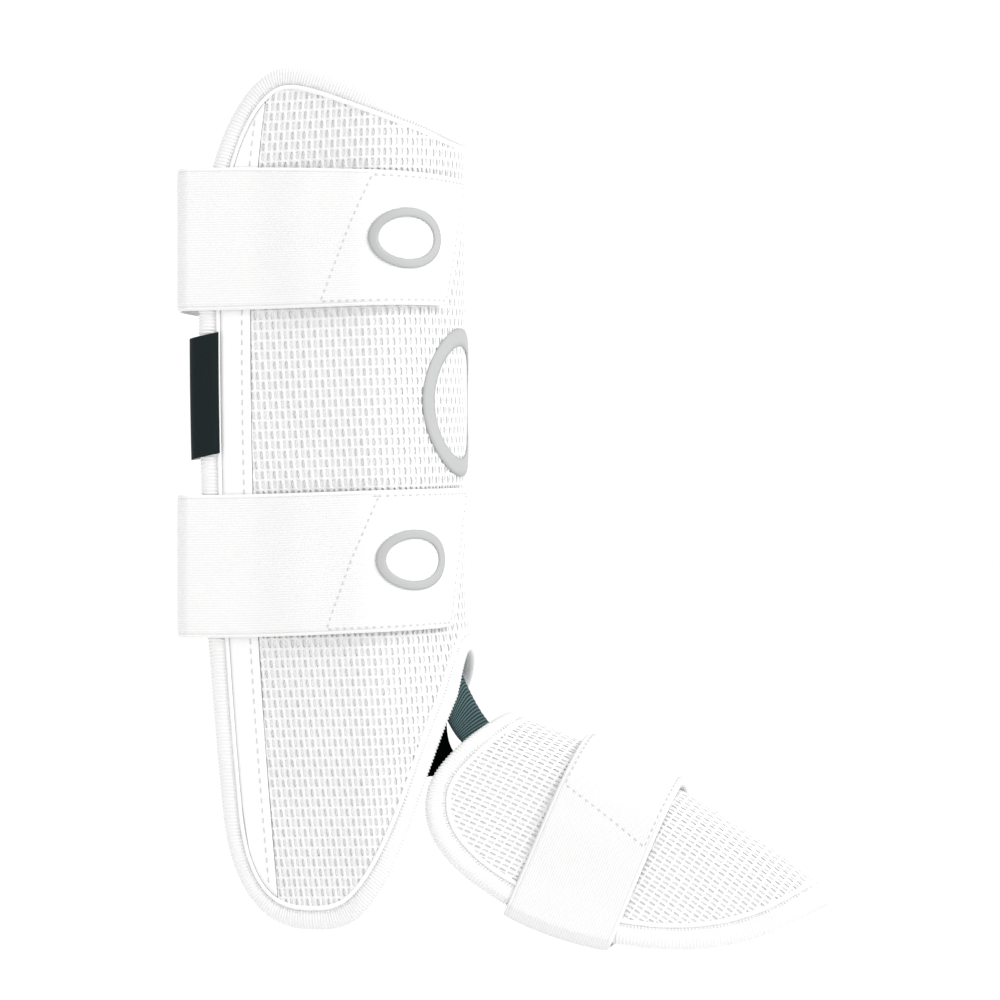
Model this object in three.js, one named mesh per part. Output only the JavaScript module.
// A batter's leg guard for the right leg: a padded shin guard with two elastic straps and, hung from its
// front on two webbing bands, a padded foot guard with one strap under the sole.
//
// Millimetres, +Z up, +X towards the toes, -Y the outer side of the leg. The origin is in the middle of the
// leg hollow, between the two shin straps.
//
// Each guard is worked out like a tailor's pattern. A point of the pattern has two lengths: across, from the
// front line round the leg (minus on the outer side), and along, the height on the shin or the length on the
// foot. A third value, lift, is how far the point stands off the guard's face, outwards.
import * as THREE from "three";

const radians = THREE.MathUtils.degToRad;

// Shin guard: the level section of its face
const SHIN_FRONT = 54;
const SHIN_FRONT_RADIUS = 95;
const SHIN_FRONT_TURN = radians(18);
const SHIN_HALF_WIDTH = 52;

// Shin guard: the pattern, whose heights are measured from the origin on the front line
const SHIN_TOP = 126;
const SHIN_BOTTOM = 116;
const SHIN_HEIGHT = SHIN_TOP + SHIN_BOTTOM;
const SHIN_OUTER_GIRTH = 145;
const INNER_SHORTER = 15;
const SHIN_INNER_GIRTH = SHIN_OUTER_GIRTH - INNER_SHORTER;
const OUTER_PEAK_RISE = 24.5;
const OUTER_LOBE_DROP = 124.5;
const INNER_PEAK_RISE = 18;
const INNER_LOBE_DROP = 38;

// Shin guard: how the pattern is gathered above and below the calf, and shaped over the ankle
const CALF_HEIGHT = 35;
const TOP_GATHER = 0.08;
const ANKLE_GATHER = 0.11;
const ANKLE_HEIGHT = -60;
const ANKLE_TAPER = 0.07;
const INSTEP_FLARE = 5;
const INSTEP_FLARE_HEIGHT = 40;
const INSTEP_FLARE_GIRTH = 45;
const INSTEP_FLARE_CAP = 1.5;

// The four edges of the shin pattern. girth: of its side; reach: how far the edge goes past the front line's
// end; crest: where, as a share of the girth; lean: how late the slope comes; back: height of the rounded
// back corner as a share of SHIN_HEIGHT; fullness: 2 for an elliptical corner, more for a squarer one
const [OUTER, INNER] = [SHIN_OUTER_GIRTH, SHIN_INNER_GIRTH];
const SHIN_EDGES = {
  outer_top: { girth: OUTER, reach: OUTER_PEAK_RISE, crest: 0.745, lean: 0.78, back: 0.33, fullness: 2.33 },
  outer_low: { girth: OUTER, reach: OUTER_LOBE_DROP, crest: 0.717, lean: 1.37, back: 0.231, fullness: 2.5 },
  inner_top: { girth: INNER, reach: INNER_PEAK_RISE, crest: 0.72, lean: 0.78, back: 0.289, fullness: 2.4 },
  inner_low: { girth: INNER, reach: INNER_LOBE_DROP, crest: 0.66, lean: 1.35, back: 0.207, fullness: 2.3 },
};

// Foot guard: where its ankle end starts, on the front line, and how its ridge runs down to the toe
const FOOT_START_X = 76;
const FOOT_START_Z = -143.5;
const FOOT_SLOPE = radians(28);
const FOOT_LENGTH = 171;
const INSTEP_RISE = 7.8;
const TOE_TAPER = 0.3;

// Foot guard: the section square to its ridge, a round crown and two straight flanks
const CROWN_RADIUS = 30;
const CROWN_TURN = radians(70);

// Foot guard: the pattern
const FOOT_OUTER_GIRTH = 94.8;
const FOOT_INNER_GIRTH = 84;
const FOOT_WAIST = 58;
const ANKLE_LOBE = 13.4;
const ANKLE_LOBE_GIRTH = 62;
const TOE_FULLNESS = 1.9;
const LOBE_FULLNESS = 4.6;

// Walls
const KNIT_WALL = 1.2;
const SHELL_WALL = 7;
const SHELL_EDGE_WALL = 3;
const EDGE_BLEND = 14;
const EDGE_HOLD = 5;
const SHELL_SIDE_TRIM = 1;
const BINDING_WIDTH = 8.5;
const BINDING_WALL = 1.6;
const STRAP_WALL = 2;
const TAB_WALL = 1.2;
const BADGE_WALL = 0.6;
const LABEL_WALL = 0.8;
const BAND_WALL = 1.6;

// Gaps
const GAP = 0.85;
const FOLD_GAP = 2.4;
const PIECE_GAP = 0.5;

// Faces and strips on the shin guard
const WELT = 2;
const FACING_WIDTH = 16;

// Straps on the shin guard
const SHIN_STRAP_WIDTH = 65;
const SQUARE_FROM = 30;
const SQUARE_TO = 62;
const SLANTED_PLACE = 0.2;
const STRAP_BULGE = 10.8;
const STRAP_BULGE_FULLNESS = 2.4;
const STRAP_CLEAR_OF_EDGE = 3;
const STRAP_SEWN_GIRTH = 60;
const STRAP_SEAT = 0.9;
const TAB_LENGTH = 57;
const TAB_SLANT = 21;
const TAB_FAR_SLANT = 27;
const TAB_INSET = 2;
const TAB_CLEARANCE = 0.7;

// Over its tab a strap stands higher. It comes down between two distances behind the tab's far end
const STEP_START = 8;
const STEP_END = 20;

// One row for each shin strap. middle: height of its middle behind the leg, as a share of SHIN_HEIGHT;
// climb: how much higher it is at the front, and narrowing: what it loses in width there, as shares of its
// width; end: girth from the front line to its upper front corner, as a share of SHIN_OUTER_GIRTH
const SHIN_STRAPS = [
  { name: "upper", middle: 0.2996, climb: -0.0123, end: 0.0345, narrowing: 0.1 },
  { name: "lower", middle: -0.3149, climb: 0.0646, end: 0.0138, narrowing: 0.031 },
];

// Strap on the foot guard
const FOOT_STRAP_WIDTH = 49.5;
const FOOT_STRAP_START = 38;
const FOOT_STRAP_RAKE = 12;
const FOOT_STRAP_FOLD = 1.5;
const SOLE_CLEARANCE = 1.7;
const SOLE_STRAP_WALL = 1.3;
const FOOT_TAB_HALF = 42;
const FOOT_TAB_SLANT = 10;

// Oval rings where a mark can go
const BADGE_HALF_WIDTH = 16.3;
const BADGE_HALF_HEIGHT = 13.6;
const BADGE_BAND = 4;
const SHIN_BADGE_HALF_WIDTH = 38;
const SHIN_BADGE_HALF_HEIGHT = 34;
const SHIN_BADGE_BAND = 8;
const SHIN_BADGE_HEIGHT = -1;
const BADGE_PLACE = 0.57;

// Edge label
const LABEL_HEIGHT = 55;
const LABEL_MIDDLE = 1.3;
const LABEL_REACH = 10.4;
const LABEL_FOLD = 4.4;
const LABEL_SKEW = 3;

// Bands that carry the foot guard, one row each. shin and foot: the girths that it spans on each guard, as
// shares of SHIN_HALF_WIDTH and of FOOT_OUTER_GIRTH; layer: 0 against the guards, 1 behind the other band
const BANDS = [
  { name: "ankle_band_front", shin: [-0.394, 0.5], foot: [-0.295, 0.348], layer: 0, columns: 8 },
  { name: "ankle_band_side", shin: [-0.731, -0.077], foot: [-0.527, -0.371], layer: 1, columns: 4 },
];
const BAND_SEWN = 18;
const BAND_CLEAR_OF_EDGE = 2.4;

// Lifts that follow from the walls and gaps
const SHELL_LIFT = -(KNIT_WALL + GAP);
const BINDING_LIFT = BINDING_WALL - KNIT_WALL;
const SHELL_EDGE_LIFT = SHELL_LIFT - SHELL_EDGE_WALL;
const SHELL_INNER_LIFT = SHELL_LIFT - SHELL_WALL;
const BINDING_INNER_LIFT = SHELL_EDGE_LIFT - GAP - KNIT_WALL;
const STRAP_LIFT = STRAP_SEAT + STRAP_WALL;
const TAB_LIFT = STRAP_SEAT + TAB_WALL;
const STRAP_STEP = TAB_WALL + TAB_CLEARANCE;
const BAND_LAYER = BAND_WALL + 2 * PIECE_GAP;

const lerp = THREE.MathUtils.lerp;
const smoothstep = THREE.MathUtils.smoothstep;

// 1 at share 0 falling to 0 at share 1, along half a cosine wave
function halfWave(share) {
  return (1 + Math.cos(Math.PI * Math.min(1, Math.abs(share)))) / 2;
}

// A rounded corner: 1 at share 0 falling to 0 at share 1
function corner(share, fullness, root = fullness) {
  return Math.pow(Math.max(0, 1 - Math.pow(Math.min(1, share), fullness)), 1 / root);
}

// Level section of the shin: a front arc, a tighter arc at each side and straight flanks
function shinSection(girth) {
  const side = Math.sign(girth) || 1;
  const length = Math.abs(girth);
  const frontLength = SHIN_FRONT_RADIUS * SHIN_FRONT_TURN;
  const turnSin = Math.sin(SHIN_FRONT_TURN);
  const turnCos = Math.cos(SHIN_FRONT_TURN);
  const sideRadius = (SHIN_HALF_WIDTH - SHIN_FRONT_RADIUS * turnSin) / (1 - turnSin);
  const frontCentre = SHIN_FRONT - SHIN_FRONT_RADIUS;
  const sideX = frontCentre + (SHIN_FRONT_RADIUS - sideRadius) * turnCos;
  const sideY = (SHIN_FRONT_RADIUS - sideRadius) * turnSin;
  const sideLength = sideRadius * (Math.PI / 2 - SHIN_FRONT_TURN);
  let x;
  let y;
  let angle;
  if (length <= frontLength) {
    angle = length / SHIN_FRONT_RADIUS;
    x = frontCentre + SHIN_FRONT_RADIUS * Math.cos(angle);
    y = SHIN_FRONT_RADIUS * Math.sin(angle);
  } else if (length <= frontLength + sideLength) {
    angle = SHIN_FRONT_TURN + (length - frontLength) / sideRadius;
    x = sideX + sideRadius * Math.cos(angle);
    y = sideY + sideRadius * Math.sin(angle);
  } else {
    angle = Math.PI / 2;
    x = sideX - (length - frontLength - sideLength);
    y = SHIN_HALF_WIDTH;
  }
  return { x, y: side * y, outX: Math.cos(angle), outY: side * Math.sin(angle) };
}

// Share of its girth that the pattern loses at a height
function gather(height) {
  if (height > CALF_HEIGHT) {
    return TOP_GATHER * ((height - CALF_HEIGHT) / (SHIN_TOP + OUTER_PEAK_RISE - CALF_HEIGHT)) ** 2;
  }
  return ANKLE_GATHER * ((CALF_HEIGHT - height) / (CALF_HEIGHT + SHIN_BOTTOM + OUTER_LOBE_DROP)) ** 2;
}

// A point of the shin given by its girth on the section, which the gathers don't change
function shinGirthPoint(girth, height, lift) {
  const section = shinSection(girth);
  const lowest = -(SHIN_BOTTOM + OUTER_LOBE_DROP);
  const width = 1 - ANKLE_TAPER * smoothstep(ANKLE_HEIGHT - height, 0, ANKLE_HEIGHT - lowest);
  const flareStart = INSTEP_FLARE_HEIGHT - SHIN_BOTTOM;
  const flareShare = THREE.MathUtils.clamp((flareStart - height) / INSTEP_FLARE_HEIGHT, 0, INSTEP_FLARE_CAP);
  const flare = INSTEP_FLARE * flareShare ** 2 * halfWave(girth / INSTEP_FLARE_GIRTH);
  return new THREE.Vector3(
    section.x + flare + section.outX * lift,
    section.y * width + section.outY * lift,
    height,
  );
}

function shinPoint(across, along, lift) {
  return shinGirthPoint(across * (1 - gather(along)), along, lift);
}

// How far a shin edge lies past the end of the front line
function shinEdge(row, across) {
  const share = Math.abs(across) / row.girth;
  if (share <= row.crest) {
    return row.reach * halfWave((1 - share / row.crest) ** row.lean);
  }
  const cornerShare = (share - row.crest) / (1 - row.crest);
  return row.reach - row.back * SHIN_HEIGHT * (1 - corner(cornerShare, row.fullness));
}

const shin = {
  point: shinPoint,
  from: -SHIN_OUTER_GIRTH,
  to: SHIN_INNER_GIRTH,
  high: (across) => SHIN_TOP + shinEdge(across < 0 ? SHIN_EDGES.outer_top : SHIN_EDGES.inner_top, across),
  low: (across) => -SHIN_BOTTOM - shinEdge(across < 0 ? SHIN_EDGES.outer_low : SHIN_EDGES.inner_low, across),
  edgeSteps: 42,
  backStep: 40,
};

// Section of the foot guard: depth is how far below the ridge the point lies
function footSection(girth) {
  const side = Math.sign(girth) || 1;
  const length = Math.abs(girth);
  const crownLength = CROWN_RADIUS * CROWN_TURN;
  const angle = Math.min(length / CROWN_RADIUS, CROWN_TURN);
  const flank = Math.max(0, length - crownLength);
  return {
    y: side * (CROWN_RADIUS * Math.sin(angle) + flank * Math.cos(angle)),
    depth: CROWN_RADIUS * (1 - Math.cos(angle)) + flank * Math.sin(angle),
    outY: side * Math.sin(angle),
    outUp: Math.cos(angle),
  };
}

// From the foot guard's own frame: along its slope, across the leg, and square to its slope
function footFrame(along, y, up) {
  return new THREE.Vector3(
    FOOT_START_X + along * Math.cos(FOOT_SLOPE) + up * Math.sin(FOOT_SLOPE),
    y,
    FOOT_START_Z - along * Math.sin(FOOT_SLOPE) + up * Math.cos(FOOT_SLOPE),
  );
}

function ridgeHeight(along) {
  return (INSTEP_RISE * 4 * along * (FOOT_LENGTH - along)) / FOOT_LENGTH ** 2;
}

function footPoint(across, along, lift) {
  const section = footSection(across);
  const width = 1 - TOE_TAPER * (along / FOOT_LENGTH) ** 2;
  const up = ridgeHeight(along) - section.depth + section.outUp * lift;
  return footFrame(along, section.y * width + section.outY * lift, up);
}

const footShare = (across) => Math.abs(across) / (across < 0 ? FOOT_OUTER_GIRTH : FOOT_INNER_GIRTH);

const foot = {
  point: footPoint,
  from: -FOOT_OUTER_GIRTH,
  to: FOOT_INNER_GIRTH,
  high: (across) => FOOT_WAIST + (FOOT_LENGTH - FOOT_WAIST) * corner(footShare(across), TOE_FULLNESS),
  low: (across) =>
    FOOT_WAIST
    - (FOOT_WAIST + ANKLE_LOBE) * corner(footShare(across), LOBE_FULLNESS, 2)
    + ANKLE_LOBE * halfWave(across / ANKLE_LOBE_GIRTH),
  edgeSteps: 32,
  backStep: 20,
};

// Places from 0 to 1 that crowd towards both ends
function crowded(steps) {
  return Array.from({ length: steps + 1 }, (_, i) => (1 - Math.cos((Math.PI * i) / steps)) / 2);
}

// Lengths from one end of a run to the other: close together at both ends, where the binding grips, and even
// between. A run too short for that has them drawn in
const EDGE_PLACES = [0, 3.5, 7.5, 12, 18, 26];
const ROW_PLACES = [0, 9, 19];

function gripped(run, steps, places = EDGE_PLACES) {
  const last = places[places.length - 1];
  const scale = Math.min(1, run / (last * 2 + last / 2));
  const start = places.map((place) => place * scale);
  const middle = even(steps).slice(1, -1).map((share) => lerp(last * scale, run - last * scale, share));
  return [...start, ...middle, ...start.map((place) => run - place).reverse()].map((place) => place / run);
}

function even(steps) {
  return Array.from({ length: steps + 1 }, (_, i) => i / steps);
}

// The outline of a guard's pattern, once round: the low edge, the inner back edge, the high edge and the
// outer back edge. Each point has the direction that leads into the pattern
function outline(guard) {
  const across = crowded(guard.edgeSteps).map((share) => lerp(guard.from, guard.to, share));
  const points = across.map((a) => ({ across: a, along: guard.low(a), edge: "low" }));
  const back = (a, start, end) => {
    const steps = Math.floor(Math.abs(end - start) / guard.backStep);
    for (let i = 1; i < steps; i++) points.push({ across: a, along: lerp(start, end, i / steps) });
  };
  back(guard.to, guard.low(guard.to), guard.high(guard.to));
  const skip = guard.high(guard.to) - guard.low(guard.to) < 1 ? 1 : 0;
  const highPoints = across.map((a) => ({ across: a, along: guard.high(a), edge: "high" })).reverse();
  points.push(...highPoints.slice(skip, highPoints.length - skip));
  back(guard.from, guard.high(guard.from), guard.low(guard.from));
  return points.map((p, i) => {
    const before = points[(i + points.length - 1) % points.length];
    const after = points[(i + 1) % points.length];
    const runAcross = after.across - before.across;
    const runAlong = after.along - before.along;
    const run = Math.hypot(runAcross, runAlong);
    return { ...p, inAcross: -runAlong / run, inAlong: runAcross / run };
  });
}

// A value on a line through points sorted by across
function onLine(points, across) {
  if (across <= points[0].across) return points[0].along;
  const last = points.length - 1;
  if (across >= points[last].across) return points[last].along;
  const i = points.findIndex((p) => p.across > across);
  const share = (across - points[i - 1].across) / (points[i].across - points[i - 1].across);
  return lerp(points[i - 1].along, points[i].along, share);
}

// The pattern with a strip cut off all round its edge
function trimmed(guard, inset) {
  const moved = outline(guard).map((p) => ({
    across: p.across + inset * p.inAcross,
    along: p.along + inset * p.inAlong,
    edge: p.edge,
  }));
  const edgeLine = (edge) => moved.filter((p) => p.edge === edge).sort((a, b) => a.across - b.across);
  const highLine = edgeLine("high");
  const lowLine = edgeLine("low");
  return {
    from: guard.from + inset,
    to: guard.to - inset,
    high: (across) => onLine(highLine, across),
    low: (across) => onLine(lowLine, across),
  };
}

// How far a point of the pattern lies from its edge, whose points are joined by straight lines
function edgeDistance(points, across, along) {
  const distances = points.map((start, i) => {
    const end = points[(i + 1) % points.length];
    const runAcross = end.across - start.across;
    const runAlong = end.along - start.along;
    const reach = (across - start.across) * runAcross + (along - start.along) * runAlong;
    const share = THREE.MathUtils.clamp(reach / (runAcross ** 2 + runAlong ** 2), 0, 1);
    return Math.hypot(start.across + share * runAcross - across, start.along + share * runAlong - along);
  });
  return Math.min(...distances);
}

// A closed solid from its corners and faces, turned so that its faces point out
function closedSolid(corners, faces) {
  const flat = new Float32Array(corners.flatMap((v) => [v.x, v.y, v.z]));
  const volume = faces.reduce((sum, [a, b, c]) => {
    const cross = new THREE.Vector3().crossVectors(corners[b], corners[c]);
    return sum + corners[a].dot(cross);
  }, 0);
  const turned = volume < 0 ? faces.map(([a, b, c]) => [a, c, b]) : faces;
  const geometry = new THREE.BufferGeometry();
  geometry.setAttribute("position", new THREE.BufferAttribute(flat, 3));
  geometry.setIndex(turned.flat());
  geometry.computeVertexNormals();
  return geometry;
}

// A wall between two like grids of points, face[column][row] and under[column][row]
function slab(face, under) {
  const columns = face.length;
  const rows = face[0].length;
  const count = columns * rows;
  const at = (c, r) => c * rows + r;
  const faces = [];
  const quad = (a, b, c, d) => faces.push([a, b, c], [a, c, d]);
  for (let c = 0; c < columns - 1; c++) {
    for (let r = 0; r < rows - 1; r++) {
      quad(at(c, r), at(c + 1, r), at(c + 1, r + 1), at(c, r + 1));
      quad(count + at(c, r), count + at(c, r + 1), count + at(c + 1, r + 1), count + at(c + 1, r));
    }
  }
  const rim = [];
  for (let c = 0; c < columns - 1; c++) rim.push(at(c, 0));
  for (let r = 0; r < rows - 1; r++) rim.push(at(columns - 1, r));
  for (let c = columns - 1; c > 0; c--) rim.push(at(c, rows - 1));
  for (let r = rows - 1; r > 0; r--) rim.push(at(0, r));
  rim.forEach((a, i) => {
    const b = rim[(i + 1) % rim.length];
    quad(b, a, count + a, count + b);
  });
  return closedSolid([...face.flat(), ...under.flat()], faces);
}

// A closed loop of like sections, each a closed ring of points
function hoop(sections) {
  const sides = sections[0].length;
  const faces = [];
  sections.forEach((_, s) => {
    const next = (s + 1) % sections.length;
    for (let i = 0; i < sides; i++) {
      const j = (i + 1) % sides;
      const corners = [s * sides + i, s * sides + j, next * sides + j, next * sides + i];
      faces.push([corners[0], corners[1], corners[2]], [corners[0], corners[2], corners[3]]);
    }
  });
  return closedSolid(sections.flat(), faces);
}

// A wall that follows a guard over an area of its pattern. rows gives the places of the rows in a column
function patternWall(guard, area, columns, rows, faceLift, underLift) {
  const grid = (lift) =>
    columns.map((share) => {
      const across = lerp(area.from, area.to, share);
      const low = area.low(across);
      const high = area.high(across);
      return rows(high - low).map((rowShare) => {
        const along = lerp(low, high, rowShare);
        return guard.point(across, along, lift(across, along));
      });
    });
  return slab(grid(faceLift), grid(underLift));
}

// The padded shell: thin where the binding grips it, full thickness further in
function shellWall(guard, columns, rows) {
  const points = outline(guard);
  const area = trimmed(guard, KNIT_WALL + FOLD_GAP);
  const inner = { ...area, from: area.from + SHELL_SIDE_TRIM, to: area.to - SHELL_SIDE_TRIM };
  const thickness = (across, along) => {
    const distance = edgeDistance(points, across, along) - BINDING_WIDTH - EDGE_HOLD;
    return lerp(SHELL_EDGE_WALL, SHELL_WALL, smoothstep(distance, 0, EDGE_BLEND));
  };
  return patternWall(
    guard,
    inner,
    gripped(inner.to - inner.from, columns),
    (run) => gripped(run, rows, ROW_PLACES),
    () => SHELL_LIFT,
    (across, along) => SHELL_LIFT - thickness(across, along),
  );
}

// The binding: a channel folded over the edge, given by its inset and lift at each corner of its section
function binding(guard) {
  const section = [
    [BINDING_WIDTH, SHELL_LIFT + GAP],
    [BINDING_WIDTH, BINDING_LIFT],
    [0, BINDING_LIFT],
    [0, BINDING_INNER_LIFT],
    [BINDING_WIDTH, BINDING_INNER_LIFT],
    [BINDING_WIDTH, SHELL_EDGE_LIFT - GAP],
    [KNIT_WALL, SHELL_EDGE_LIFT - GAP],
    [KNIT_WALL, SHELL_LIFT + GAP],
  ];
  return hoop(
    outline(guard).map((p) => {
      const place = (inset) => [p.across + inset * p.inAcross, p.along + inset * p.inAlong];
      return section.map(([inset, lift]) => guard.point(...place(inset), lift));
    }),
  );
}

// Height of a shin strap's middle line and half its width, at a share from behind the leg to the tab's end
function strapBand(strap, share) {
  const toFront = smoothstep(share, 0, 1);
  return {
    middle: strap.middle * SHIN_HEIGHT + strap.climb * SHIN_STRAP_WIDTH * toFront,
    half: (SHIN_STRAP_WIDTH * (1 - strap.narrowing * toFront)) / 2,
  };
}

// How much higher a strap stands over its tab, at a distance behind the tab's far end
function strapStep(distance) {
  return STRAP_STEP * (1 - smoothstep(distance, STEP_START, STEP_END));
}

// Level path of a shin strap, from its end (place 0) along the outer side, behind the leg and back to where
// it is sewn on the inner side (place 3). Places 1 and 2 are where it leaves the two flanks. Only the part
// in front of SQUARE_FROM follows the slant of the end
function strapPath(place, end, height, lift) {
  const leave = SHIN_OUTER_GIRTH + STRAP_CLEAR_OF_EDGE;
  if (place <= 1) {
    const square = lerp(SQUARE_FROM, leave, (place - SLANTED_PLACE) / (1 - SLANTED_PLACE));
    const girth = place <= SLANTED_PLACE ? lerp(end, SQUARE_FROM, place / SLANTED_PLACE) : square;
    return shinGirthPoint(-girth, height, lift + strapStep(girth - TAB_FAR_SLANT - TAB_LENGTH));
  }
  if (place >= 2) return shinGirthPoint(lerp(leave, STRAP_SEWN_GIRTH, place - 2), height, lift);
  const angle = (place - 1.5) * Math.PI;
  const power = 2 / STRAP_BULGE_FULLNESS;
  const flank = shinGirthPoint(leave, height, lift);
  return new THREE.Vector3(
    flank.x - (STRAP_BULGE + lift) * Math.cos(angle) ** power,
    flank.y * Math.sign(angle) * Math.abs(Math.sin(angle)) ** power,
    height,
  );
}

const STRAP_PLACES = [
  ...even(20),
  ...crowded(12).slice(1, -1).map((share) => 1 + share),
  ...even(10).map((share) => 2 + share),
];
const STRAP_ROWS = even(2);

// Girth of a strap's front end at a share of its width, from its upper to its lower corner
const strapEnd = (strap, down) => strap.end * SHIN_OUTER_GIRTH + TAB_SLANT * down;

function shinStrap(strap) {
  const grid = (lift) =>
    STRAP_PLACES.map((place) => {
      const { middle, half } = strapBand(strap, 1 - Math.min(1, place));
      return STRAP_ROWS.map((down) =>
        strapPath(place, strapEnd(strap, down), lerp(middle + half, middle - half, down), lift),
      );
    });
  return slab(grid(STRAP_LIFT), grid(STRAP_SEAT));
}

// Girths of a tab's columns: slanted to its end, square to the strap between, and slanted to its other end.
// The tab is a patch sewn under the strap's end
function tabGirths(strap, down) {
  const end = strapEnd(strap, down);
  const farEnd = strapEnd(strap, 0) + TAB_LENGTH + TAB_FAR_SLANT * down;
  return [
    ...even(3).map((share) => lerp(end + TAB_INSET, SQUARE_FROM, share)),
    ...even(5).slice(1, -1).map((share) => lerp(SQUARE_FROM, SQUARE_TO, share)),
    ...even(3).map((share) => lerp(SQUARE_TO, farEnd, share)),
  ];
}

function shinStrapTab(strap) {
  const downs = even(3);
  const girths = downs.map((down) => tabGirths(strap, down));
  const grid = (lift) =>
    girths[0].map((_, column) =>
      downs.map((down, row) => {
        const girth = girths[row][column];
        const { middle, half } = strapBand(strap, 1 - girth / SHIN_OUTER_GIRTH);
        return shinGirthPoint(-girth, middle + lerp(half - TAB_INSET, TAB_INSET - half, down), lift);
      }),
    );
  return slab(grid(TAB_LIFT), grid(STRAP_SEAT));
}

// An oval ring that lies on the shin's face
function ovalRing(girth, height, halfWidth, halfHeight, band, base) {
  const sides = 20;
  const point = (angle, inset, lift) =>
    shinGirthPoint(
      girth + (halfWidth - inset) * Math.cos(angle),
      height + (halfHeight - inset) * Math.sin(angle),
      lift,
    );
  return hoop(
    Array.from({ length: sides }, (_, i) => {
      const angle = (2 * Math.PI * i) / sides;
      return [
        point(angle, 0, base),
        point(angle, 0, base + BADGE_WALL),
        point(angle, band, base + BADGE_WALL),
        point(angle, band, base),
      ];
    }),
  );
}

function strapBadge(strap) {
  const girth = strapEnd(strap, 0.5) + TAB_LENGTH * BADGE_PLACE;
  const height = strapBand(strap, 1 - girth / SHIN_OUTER_GIRTH).middle;
  const base = STRAP_LIFT + STRAP_STEP + PIECE_GAP;
  return ovalRing(-girth, height, BADGE_HALF_WIDTH, BADGE_HALF_HEIGHT, BADGE_BAND, base);
}

// The label folded over the outer back edge: its section as insets from the edge and lifts. Its free ends
// sit a little higher than its fold
function edgeLabel() {
  const outside = BINDING_LIFT + PIECE_GAP;
  const inside = BINDING_INNER_LIFT - PIECE_GAP;
  const fold = (grow) => [
    [LABEL_REACH, outside + grow],
    [0, outside + grow],
    [-LABEL_FOLD - grow, outside - KNIT_WALL],
    [-LABEL_FOLD - grow, inside + KNIT_WALL],
    [0, inside - grow],
    [LABEL_REACH, inside - grow],
  ];
  const grid = (grow) =>
    fold(grow).map(([inset, lift]) => {
      const middle = LABEL_MIDDLE + LABEL_SKEW * ((inset + LABEL_FOLD) / (LABEL_REACH + LABEL_FOLD) - 0.5);
      return even(4).map((share) =>
        shinPoint(-SHIN_OUTER_GIRTH + inset, middle + LABEL_HEIGHT * (share - 0.5), lift),
      );
    });
  return slab(grid(LABEL_WALL), grid(0));
}

// A webbing band from the inside of the shin guard's low edge to the inside of the foot guard's ankle end
function ankleBand(band) {
  const grid = (lift) =>
    even(band.columns).map((share) => {
      const shinAcross = SHIN_HALF_WIDTH * lerp(...band.shin, share);
      const footAcross = FOOT_OUTER_GIRTH * lerp(...band.foot, share);
      const shinLow = shin.low(shinAcross);
      const footLow = foot.low(footAcross);
      const layerLift = lift - band.layer * BAND_LAYER;
      const edgeLift = BINDING_INNER_LIFT - GAP - PIECE_GAP + layerLift;
      const sewnLift = SHELL_INNER_LIFT - PIECE_GAP + layerLift;
      const path = new THREE.CatmullRomCurve3([
        shin.point(shinAcross, shinLow + BAND_SEWN, sewnLift),
        shin.point(shinAcross, shinLow - BAND_CLEAR_OF_EDGE, edgeLift),
        foot.point(footAcross, footLow - BAND_CLEAR_OF_EDGE, edgeLift),
        foot.point(footAcross, footLow + BAND_SEWN, sewnLift),
      ]);
      return path.getPoints(8);
    });
  return slab(grid(0), grid(-BAND_WALL));
}

// Girth of the foot guard's edge at a length along it
function footEdgeGirth(along, girth) {
  const end = along > FOOT_WAIST ? FOOT_LENGTH : -ANKLE_LOBE;
  const share = Math.abs((along - FOOT_WAIST) / (end - FOOT_WAIST));
  const fullness = along > FOOT_WAIST ? TOE_FULLNESS : LOBE_FULLNESS;
  return girth * corner(share, along > FOOT_WAIST ? TOE_FULLNESS : 2, fullness);
}

// The foot strap: one closed loop over the guard's face and straight across under the sole
function footStrap() {
  const overSteps = 24;
  const underSteps = 6;
  const rows = even(2);
  const along = (girth, row) =>
    FOOT_STRAP_START + row * FOOT_STRAP_WIDTH + (FOOT_STRAP_RAKE * Math.abs(girth)) / FOOT_OUTER_GIRTH;
  const edge = (side, row) => {
    const full = side < 0 ? FOOT_OUTER_GIRTH : FOOT_INNER_GIRTH;
    return side * (footEdgeGirth(along(full, row), full) + FOOT_STRAP_FOLD);
  };
  const over = (share, row, lift) => {
    const girth = lerp(edge(-1, row), edge(1, row), share);
    return footPoint(girth, along(girth, row), lift + strapStep(Math.abs(girth) - FOOT_TAB_HALF));
  };
  const under = (share, row, lift) => {
    const start = footPoint(edge(1, row), along(edge(1, row), row), 0);
    const end = footPoint(edge(-1, row), along(edge(-1, row), row), 0);
    const point = start.lerp(end, share);
    const wall = ((lift - STRAP_SEAT) * SOLE_STRAP_WALL) / STRAP_WALL;
    const down = footFrame(0, 0, -STRAP_SEAT - wall - SOLE_CLEARANCE).sub(footFrame(0, 0, 0));
    return point.add(down);
  };
  const stations = [
    ...even(overSteps).map((share) => (row, lift) => over(share, row, lift)),
    ...even(underSteps).map((share) => (row, lift) => under(share, row, lift)),
  ];
  return hoop(
    stations.map((station) => [
      ...rows.map((row) => station(row, STRAP_LIFT)),
      ...[...rows].reverse().map((row) => station(row, STRAP_SEAT)),
    ]),
  );
}

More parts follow.
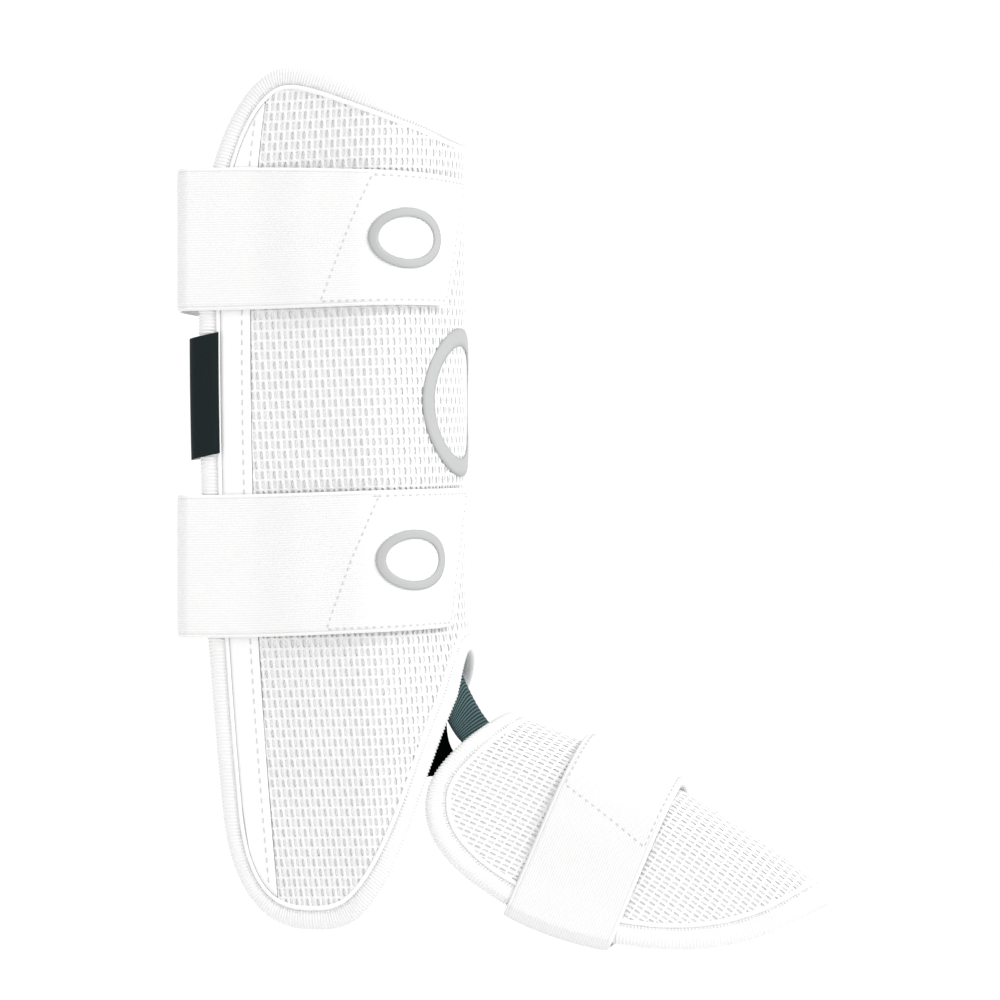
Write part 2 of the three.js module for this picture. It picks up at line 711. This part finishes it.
function footStrapTab() {
  const grid = (lift) =>
    even(12).map((share) =>
      even(3).map((row) => {
        const slant = FOOT_TAB_SLANT * (0.5 - row);
        const girth = lerp(-FOOT_TAB_HALF + slant, FOOT_TAB_HALF, share);
        const rake = (FOOT_STRAP_RAKE * Math.abs(girth)) / FOOT_OUTER_GIRTH;
        const inner = lerp(TAB_INSET, FOOT_STRAP_WIDTH - TAB_INSET, row);
        return footPoint(girth, FOOT_STRAP_START + inner + rake, lift);
      }),
    );
  return slab(grid(TAB_LIFT), grid(STRAP_SEAT));
}

// Finishes
const finish = (color, roughness) => new THREE.MeshStandardMaterial({ color, roughness, metalness: 0 });
const whiteFabric = finish(0xf3f3f2, 0.8);
const whiteKnit = finish(0xececeb, 0.85);
const whiteElastic = finish(0xf6f6f5, 0.75);
const greyPrint = finish(0xb4b5b6, 0.5);
const blackWebbing = finish(0x16211f, 0.8);
const blackLabel = finish(0x1c2423, 0.6);

const guard = new THREE.Group();

function add(name, geometry, material) {
  const mesh = new THREE.Mesh(geometry, material.clone());
  mesh.name = name;
  guard.add(mesh);
}

const KNIT_INSET = BINDING_WIDTH + WELT;
const FACING_INSET = BINDING_WIDTH + GAP;
const wallLift = () => 0;
const wallUnder = () => -KNIT_WALL;

const facingArea = trimmed(shin, FACING_INSET);
const knitArea = trimmed(shin, KNIT_INSET);
const footKnitArea = trimmed(foot, KNIT_INSET);
const outerFacing = { ...facingArea, to: facingArea.from + FACING_WIDTH };
const innerFacing = { ...facingArea, from: facingArea.to - FACING_WIDTH };
const shinKnit = { ...knitArea, from: outerFacing.to + GAP, to: innerFacing.from - GAP };

// Shin guard
add("shin_shell", shellWall(shin, 26, 12), whiteFabric);
add("shin_mesh", patternWall(shin, shinKnit, even(24), () => even(14), wallLift, wallUnder), whiteKnit);
for (const [name, area] of [["shin_facing_outer", outerFacing], ["shin_facing_inner", innerFacing]]) {
  add(name, patternWall(shin, area, even(2), () => even(14), wallLift, wallUnder), whiteFabric);
}
add("shin_binding", binding(shin), whiteElastic);
add(
  "shin_badge",
  ovalRing(0, SHIN_BADGE_HEIGHT, SHIN_BADGE_HALF_WIDTH, SHIN_BADGE_HALF_HEIGHT, SHIN_BADGE_BAND, PIECE_GAP),
  greyPrint,
);
add("edge_label", edgeLabel(), blackLabel);

// Shin straps
for (const strap of SHIN_STRAPS) {
  add(`${strap.name}_strap`, shinStrap(strap), whiteElastic);
  add(`${strap.name}_strap_tab`, shinStrapTab(strap), whiteFabric);
  add(`${strap.name}_badge`, strapBadge(strap), greyPrint);
}

// Bands to the foot guard
for (const band of BANDS) add(band.name, ankleBand(band), blackWebbing);

// Foot guard
add("foot_shell", shellWall(foot, 12, 6), whiteFabric);
add("foot_mesh", patternWall(foot, footKnitArea, even(22), () => even(8), wallLift, wallUnder), whiteKnit);
add("foot_binding", binding(foot), whiteElastic);
add("foot_strap", footStrap(), whiteElastic);
add("foot_strap_tab", footStrapTab(), whiteFabric);

export default guard;
